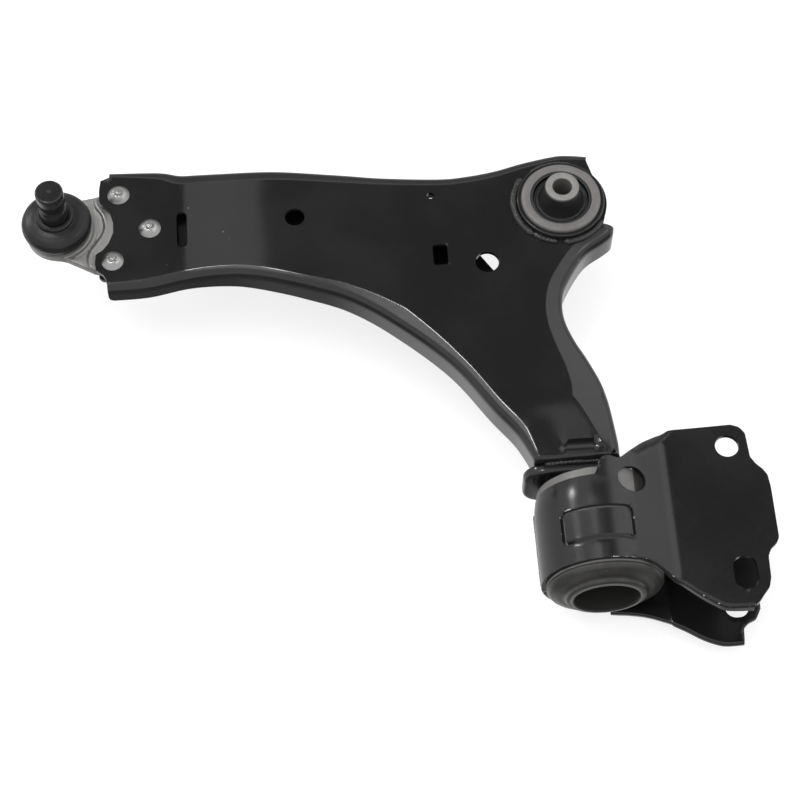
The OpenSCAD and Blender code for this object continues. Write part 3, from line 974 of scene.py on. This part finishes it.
neck_profile = [(20.1, 21.5, 0.3), (20.1, 23.5, 0.2), (17.4, 24.35, 3.0), (15.0, 24.7, 0.5),
                (14.35, 25.0, 0.4), (14.3, 27.3, 1.2), (12.7, 28.1, 0.9), (10.7, 28.3, 0.3),
                (10.7, 25.4, 0.3), (12.9, 24.3, 0.5), (15.8, 22.8, 0.6)]
neck = lathe("boot_neck", neck_profile, BOOT, at_ball)
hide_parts("boot_upper")
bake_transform(neck)


# -------- rear end

def rounded_block(name, loop, s0, s1, edge, mat):
    """A plate along the rear bush axis whose two faces have rounded rims."""
    steps = 5
    quarter = [math.pi / 2 * k / steps for k in range(steps + 1)]
    rows = [(edge * (1 - math.sin(a)), s0 + edge * (1 - math.cos(a))) for a in quarter]
    rows += [(edge * (1 - math.cos(a)), s1 - edge * (1 - math.sin(a))) for a in quarter]
    m = inward(loop + loop[:1])[:-1]
    verts, faces = [], []
    n = len(loop)
    for inset, s in rows:
        for p, q in zip(loop, m):
            x, z = np.array(p) + q * inset
            verts.append((x, -s, z))
    for r in range(len(rows) - 1):
        for i in range(n):
            j = (i + 1) % n
            faces.append([r * n + i, r * n + j, (r + 1) * n + j, (r + 1) * n + i])
    faces.append(list(range(n)))
    last = (len(rows) - 1) * n
    faces.append([last + i for i in range(n)][::-1])
    return mesh_object(name, verts, faces, mat)


collar_corners = rounded([(-48, -39), (30, -39), (30, 9), (-48, 9)], 15, 8)
collar_loop = resample(collar_corners + [(-48, -24)], 2.0)[:-1]
collar = rounded_block("collar", collar_loop, 213.9, 222.0, 2.6, ARM_PAINT)
add_wear_and_glints(collar, [([(-20, -222, 8.5), (12, -222, 8.5)], 0.62, 2.0)])
stands_for(collar, "arm", "rear_collar")

collar_path = [(-33, -214.6, 8.9), (-10, -214.4, 9.6), (17, -214.7, 9.1)]
collar_bead = bead("collar_bead", collar_path, 2.1, BEAD_PAINT, 11.0)
add_wear_and_glints(collar_bead, [([(-31, -215, 10.5), (-29, -215, 10.5)], 0.85, 2.0)])
stands_for(collar_bead, "arm", "collar_weld")

spigot_profile = [(18, 214), (23.45, 214), (23.45, 288, 1.5), (18, 288, 1.0)]
spigot = lathe("spigot", spigot_profile, SPIGOT, at_rear, 96)
stands_for(spigot, "arm", "rear_spigot")

rear_sleeve_profile = [(23.5, 222, 0.6), (26, 222, 0.8), (26.4, 312, 1.6), (23.5, 312, 1.2)]
rear_sleeve = lathe("rear_sleeve", rear_sleeve_profile, CAN, at_rear)
# Painted shade inside the rear sleeve's bore.
paint_bore_shade(rear_sleeve, (REAR_X, REAR_Z), 24.2)
stands_for(rear_sleeve, "arm", "rear_bush_sleeve")

rear_rubber_profile = [(26, 226, 0.3), (33, 228, 2.5), (39.2, 233, 1.5), (39.2, 300.3, 0.5),
                       (41.7, 300.5, 0.2), (42.0, 302.3, 1.6), (39.8, 305.0, 5.0),
                       (35.0, 306.9, 6.0), (31.0, 307.4, 3.0), (29.4, 308.4, 1.5),
                       (28.8, 310.9, 1.2), (26.2, 311.4, 0.2)]
rear_rubber = lathe("rear_rubber", rear_rubber_profile, REAR_BUSH, at_rear)
stands_for(rear_rubber, "arm", "rear_bush_rubber")

rear_can_profile = [(39.5, 227.3, 0.6), (42, 227.3, 1.6), (42, 252, 0.0), (42, 300.4, 1.2),
                    (39.5, 300.4, 0.5)]
rear_can = lathe("rear_can", rear_can_profile, CAN, at_rear, 160)
# Painted shade: the can's faces under the bracket's round hole take the dark bore material, for the
# shadow on its inboard side.
rear_can.data.materials.append(BORE_SHADE)
for face in rear_can.data.polygons:
    spot = face.center / MM
    if spot.z > 0 and math.dist((spot.x, spot.y), (40, -238)) < 12:
        face.material_index = 1
stands_for(rear_can, "rear_bracket", "rear_bush_can")


# -------- bracket

class Section:
    """The bent line of a pressing, seen along the bush axis, measured by its length."""

    def __init__(self, points):
        p = np.array(points, float)
        self.p = p
        self.s = np.r_[0, np.cumsum(np.linalg.norm(np.diff(p, axis=0), axis=1))]
        t = np.gradient(p, self.s, axis=0)
        t /= np.linalg.norm(t, axis=1)[:, None]
        self.n = np.stack([-t[:, 1], t[:, 0]], 1)
        self.k = int(np.argmin(p[:, 0]))

    def at(self, s, drop):
        x, z = (np.interp(s, self.s, self.p[:, i]) for i in (0, 1))
        nx, nz = (np.interp(s, self.s, self.n[:, i]) for i in (0, 1))
        return x - nx * drop, z - nz * drop

    def s_of_x(self, x):
        return float(np.interp(x, self.p[self.k:, 0], self.s[self.k:]))


def section_points(radius, face, bend_x, start, bend_r, side):
    """Arc round the can, tangent slope, rounded bend and flat plate."""
    v = np.array([bend_x - REAR_X, face - REAR_Z])
    leave = math.degrees(math.atan2(v[1], v[0])) + side * math.degrees(
        math.acos(radius / np.linalg.norm(v)))
    if side < 0:
        leave += 360
    n = 60
    turn = [math.radians(a) for a in np.linspace(start, leave, n)]
    arc = [(REAR_X + radius * math.cos(a), REAR_Z + radius * math.sin(a)) for a in turn]
    rest = rounded([(*arc[-1], 0), (bend_x, face, bend_r), (132.0, face, 0)], bend_r, 6)
    slope = resample([arc[-1], rest[1]], 2.0)
    plate = resample([rest[-2], rest[-1]], 4.0)
    line = arc + slope[1:] + rest[2:-2] + plate
    out = [line[0]]
    for q in line[1:]:
        if math.dist(q, out[-1]) > 0.02:
            out.append(q)
    return out


UPPER = Section(section_points(BAND_R, 11.0, 52.0, 196, 6.0, 1))
LOWER = Section(section_points(BAND_R - PLATE_SHEET, -42.5, 51.1, 196, 6.0, -1))
UPPER_REAR = [(30, -299), (40, -303), (52, -312.5), (65, -323), (76, -330.5), (84, -334),
              (102, -334.5)]
# The inboard edge that both pressings share, from the rear to the front.
SIDE = [(116.5, -298), (119, -292.5), (124, -288), (126, -284), (126, -245), (125, -235),
        (122, -230), (118, -226), (114.5, -220), (113.5, -201), (110, -196), (104, -193.5),
        (75, -194.5)]
UPPER_RIGHT = [(106, -331), (109, -327), (114, -321), (116, -314)] + SIDE
UPPER_FRONT = [(56, -195), (46, -201), (38, -206), (27, -215), (19, -221), (10, -219.5),
               (4, -223), (1, -232)]
WINDOW = (50.5, -284.5, 105.5, -258.5)
SLOPE_HOLE = (26, -237.5, 10)
BOLT_HOLE = (99, -210.5, 8.5)
LONG_SLOT = (99, -309)
SLIT = 1.8
ROLL, ROLL_CURVE = 18.0, 0.0064
LIP_REACH, LIP_DROP = 7, 3.4


def to_s(section, line):
    return [(section.s_of_x(x), y) for x, y in line]


FRONT_LINE = to_s(UPPER, catmull(UPPER_FRONT, 4))


def window_dent(u, v):
    """How far the lanced panel is sunk; its lower edge stays joined."""
    x0, y0, x1, y1 = WINDOW
    if not (x0 + SLIT / 2 < u < x1 - SLIT / 2 and v < y1 - SLIT / 2):
        return 0.0
    return 2.3 * smoothstep(0, 4.2, v - y0)


def window_slit():
    """The cut round three sides of the panel."""
    x0, y0, x1, y1 = WINDOW
    outer = soften([(x0 + 10, y0), (x0, y0), (x0, y1), (x1, y1), (x1, y0 + 3)], 5.0)
    inner = soften([(x0 + 10, y0 + SLIT), (x0 + SLIT, y0 + SLIT), (x0 + SLIT, y1 - SLIT),
                    (x1 - SLIT, y1 - SLIT), (x1 - SLIT, y0 + 3)], 3.2)
    loop = outer + inner[::-1]
    return resample(loop + loop[:1], 1.3)[:-1]


def upper_place(u, v, drop):
    """The upper pressing: u runs along its section, v along the bush axis."""
    n = window_dent(u, v)
    # The band's front rim rolls down, and so does the lip along the tab's front edge.
    edge = BAND_FRONT - v
    if edge < ROLL:
        n += ROLL_CURVE * (ROLL - max(0.0, edge)) ** 2 * (1 - smoothstep(100, 114, u))
    if 108 < u < 150:
        d = distance_to([(u, v)], FRONT_LINE)[0]
        if d < LIP_REACH:
            along = smoothstep(108, 120, u) * (1 - smoothstep(138, 150, u))
            n += LIP_DROP * (1 - d / LIP_REACH) ** 2 * along
    n += 0.05 * noise.noise(Vector((u * 0.03, v * 0.03, 9.2)))
    x, z = UPPER.at(u, drop + n)
    return (x, v, z)


def lower_place(u, v, drop):
    n = 0.05 * noise.noise(Vector((u * 0.03, v * 0.03, 5.2)))
    x, z = LOWER.at(u, drop + n)
    return (x, v, z)


def long_slot(section, x, y):
    r, half = 8.5, 12.5
    loop = rounded([(x - r, y - half), (x + r, y - half), (x + r, y + half), (x - r, y + half)],
                   r, 12)
    return to_s(section, loop)


def tidy_line(line, step=2.0):
    out = [line[0]]
    for p in line[1:]:
        if math.dist(p, out[-1]) > 0.4:
            out.append(p)
    return resample(out, step)


def build_upper():
    rear_flat = tidy_line([(0.5, BAND_REAR), (UPPER.s_of_x(24), BAND_REAR)])
    rear = tidy_line(to_s(UPPER, catmull([(24, BAND_REAR)] + UPPER_REAR, 4)))
    right = tidy_line(to_s(UPPER, soften(UPPER_REAR[-1:] + UPPER_RIGHT + UPPER_FRONT[:1], 3.0)))
    front = tidy_line(FRONT_LINE)
    band = tidy_line([front[-1], (front[-1][0] - 2.0, BAND_FRONT), (0.5, BAND_FRONT),
                      (0.5, BAND_REAR)], 2.5)
    n = len(rear)
    grow = np.linspace(0, 1, n)
    runs = [
        {"line": rear_flat[:-1]},
        {"line": rear, "width": 0.8 + 2.4 * grow ** 0.5,
         "depth": 1.2 + 8.0 * grow ** 0.7, "radius": 2.6, "shoulder": [4] * n},
        {"line": right[1:-1]},
        {"line": front[1:-1]},
        {"line": band[1:-1]},
    ]
    x0, y0, x1, y1 = WINDOW
    rings = [box_loop(x0 + 2.4, y0 + 5.0, x1 - 2.4, y1 - 2.6, 1.0, 1.5),
             box_loop(x0 + 2.6, y0 + 2.4, x1 - 2.6, y0 + 4.4, 0.6, 1.5)]
    holes = [to_s(UPPER, circle(*SLOPE_HOLE, 56)), to_s(UPPER, circle(*BOLT_HOLE, 56)),
             long_slot(UPPER, *LONG_SLOT), window_slit()]
    edge3 = [upper_place(u, v, 1.0) for u, v in rear]
    rim3 = [upper_place(u, v, 0.5) for u, v in rear_flat[-12:]]
    tab3 = [upper_place(u, v, 1.0) for u, v in front[-14:]]
    win3 = [upper_place(u, v, 0.0) for u, v in
            [(x0, y0 + 8), (x0, y1), (x0 + 10, y1), (x1 - 14, y1), (x1, y1), (x1, y0 + 8)]]
    wear_and_glint = [(edge3, 1.0, 2.2), (rim3, 1.1, 1.8), (tab3, 1.1, 2.4), (win3, 1.06, 1.5),
            (win3[1:3], 1.3, 2.6)]
    return pressing("bracket_upper_pressing", runs, holes, rings, upper_place, PLATE_SHEET,
                    BRACKET_PAINT, 3.5, wear_and_glint)


def build_lower_bracket():
    front = [(56, -195), (46, -201), (38, -207), (27, -217), (19, -227), (0, BAND_FRONT)]
    outline = [(102, -330), (106, -326), (112, -323.5), (116, -316)] + SIDE + front
    rear_pts = [(9.5, -306.3), (22, -309.5), (34, -313.8), (46, -320.2), (60, -328), (70, -334.5),
                (79, -339), (88, -341.6), (101, -341.5)]
    rear = tidy_line(to_s(LOWER, catmull(rear_pts, 4)))
    right = tidy_line(to_s(LOWER, soften(rear_pts[-1:] + outline, 3.0)))
    band = tidy_line([right[-1], (0.5, BAND_FRONT), (0.5, BAND_REAR), (LOWER.s_of_x(7), BAND_REAR),
                      rear[0]], 2.5)
    runs = [
        {"line": rear, "width": [2.2] * len(rear), "depth": [4.5] * len(rear),
         "radius": 1.8, "shoulder": [4] * len(rear)},
        {"line": right[1:-1]},
        {"line": band[1:-1]},
    ]
    holes = [to_s(LOWER, circle(*BOLT_HOLE, 56)), long_slot(LOWER, *LONG_SLOT)]
    rear3 = [lower_place(u, v, 1.0) for u, v in rear]
    return pressing("bracket_lower_pressing", runs, holes, [], lower_place, PLATE_SHEET,
                    BRACKET_PAINT, 3.5, [(rear3, 0.8, 2.2)])


bracket_top = build_upper()
stands_for(bracket_top, "rear_bracket", "bracket_upper")
bracket_base = build_lower_bracket()
stands_for(bracket_base, "rear_bracket", "bracket_lower")

seam_a = math.radians(196)
seam_path = [(REAR_X + 45.4 * math.cos(seam_a), y, REAR_Z + 45.4 * math.sin(seam_a))
             for y in (-238.5, -294.5)]
seam_bead = bead("seam_bead", seam_path, 1.3, BEAD_PAINT, 21.0)
stands_for(seam_bead, "rear_bracket", "bracket_seam_weld")

for node, mat in (("ball_seat", SEAT), ("boot_clip_lower", CLIP), ("boot_clip_upper", CLIP)):
    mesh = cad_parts[node].data
    mesh.materials.clear()
    mesh.materials.append(mat)


# -------- studio

scene = bpy.context.scene
camera_data = bpy.data.cameras.new("camera")
camera_data.lens = 99.0
camera_data.sensor_width = 36.0
camera_data.clip_end = 100.0
camera = bpy.data.objects.new("camera", camera_data)
camera.location = (-0.1845, -0.8919, 1.4325)
camera.rotation_euler = (math.radians(27.4), 0.0, math.radians(-4.0))
scene.collection.objects.link(camera)
scene.camera = camera
scene.view_settings.view_transform = "Standard"


# Soft round lights: direction, the angles in degrees within which the light is full
# and past which there is none, and strength.
LAMPS = (((-0.186, 0.252, 0.950), 1.5, 4.0, 35.0),
         ((-0.36, 0.12, 0.93), 3.0, 16.0, 1.7),
         ((-0.648, 0.53, 0.548), 1.5, 5.0, 26.0),
         ((0.57, 0.42, 0.70), 10.0, 26.0, 0.5),
         ((0.6, -0.08, 0.79), 4.0, 11.0, 2.0))


def studio_world():
    world = bpy.data.worlds.new("studio")
    scene.world = world
    world.use_nodes = True
    tree = world.node_tree
    back = tree.nodes["Background"]
    coord = tree.nodes.new("ShaderNodeTexCoord")
    axes = tree.nodes.new("ShaderNodeSeparateXYZ")
    tree.links.new(coord.outputs["Generated"], axes.inputs[0])
    x, y, z = axes.outputs

    def lobe(direction, inner, outer, value):
        """A soft round light in one direction; inner and outer are degrees."""
        dot = tree.nodes.new("ShaderNodeVectorMath")
        dot.operation = "DOT_PRODUCT"
        dot.inputs[1].default_value = Vector(direction).normalized()
        tree.links.new(coord.outputs["Generated"], dot.inputs[0])
        return remap(tree, dot.outputs["Value"], math.cos(math.radians(outer)),
                     math.cos(math.radians(inner)), 0.0, value)

    def times(*values):
        out = values[0]
        for v in values[1:]:
            out = math_node(tree, "MULTIPLY", out, v)
        return out

    # A dark patch overhead keeps the flat black faces dark. Its near edge lies further
    # back for the bracket, which stands to the right.
    forward = math_node(tree, "ADD", y, remap(tree, x, 0.115, 0.15, 0.0, 0.26))
    dark = times(remap(tree, x, -0.177, -0.138, 0.0, 1.0), remap(tree, x, 0.3, 0.42, 1.0, 0.0),
                 remap(tree, forward, 0.355, 0.41, 0.0, 1.0), remap(tree, y, 0.62, 0.76, 1.0, 0.0))
    horizon = times(remap(tree, y, 0.55, 0.75, 0.0, 1.0), remap(tree, z, 0.35, 0.5, 1.0, 0.0))
    room = times(remap(tree, z, 0.2, 0.9, 1.0, 0.92), remap(tree, dark, 0.0, 1.0, 1.0, 0.12, False),
                 remap(tree, horizon, 0.0, 1.0, 1.0, 0.35, False))
    ground = times(remap(tree, y, -0.55, 0.0, 0.2, 1.1), remap(tree, y, 0.15, 0.45, 1.0, 0.65))
    height = remap(tree, z, 0.08, 0.32, 0.0, 1.0)
    down = remap(tree, z, 0.08, 0.32, 1.0, 0.0)
    total = math_node(tree, "ADD", times(room, height), times(ground, down))
    for light in LAMPS:
        total = math_node(tree, "ADD", total, lobe(*light))
    seen = tree.nodes.new("ShaderNodeLightPath").outputs["Is Camera Ray"]
    total = math_node(tree, "MAXIMUM", total, seen)
    tree.links.new(total, back.inputs["Strength"])
    back.inputs["Color"].default_value = (1.0, 1.0, 1.0, 1.0)


studio_world()

sun_data = bpy.data.lights.new("key", "SUN")
sun_data.energy = 1.4
sun_data.angle = math.radians(60)
sun = bpy.data.objects.new("key", sun_data)
sun.rotation_euler = (math.radians(-18), math.radians(-22), 0)
sun.visible_glossy = False
scene.collection.objects.link(sun)

floor_mat, floor_tree, floor_bsdf, floor_co = nodes_of("floor")
floor_bsdf.inputs["Roughness"].default_value = 0.9
floor_bsdf.inputs["Emission Color"].default_value = (1.0, 1.0, 1.0, 1.0)
floor_bsdf.inputs["Emission Strength"].default_value = 0.75
floor_tint = mix_colour(floor_tree, noise_node(floor_tree, floor_co, 3.0),
                        (0.3, 0.3, 0.3), (0.32, 0.32, 0.32))
floor_tree.links.new(floor_tint, floor_bsdf.inputs["Base Color"])
half, ground_z = 12000.0, -61.5
corners = ((-half, -half), (half, -half), (half, half), (-half, half))
floor = mesh_object("floor", [(x, y, ground_z) for x, y in corners], [[0, 1, 2, 3]], floor_mat)
floor.visible_glossy = False
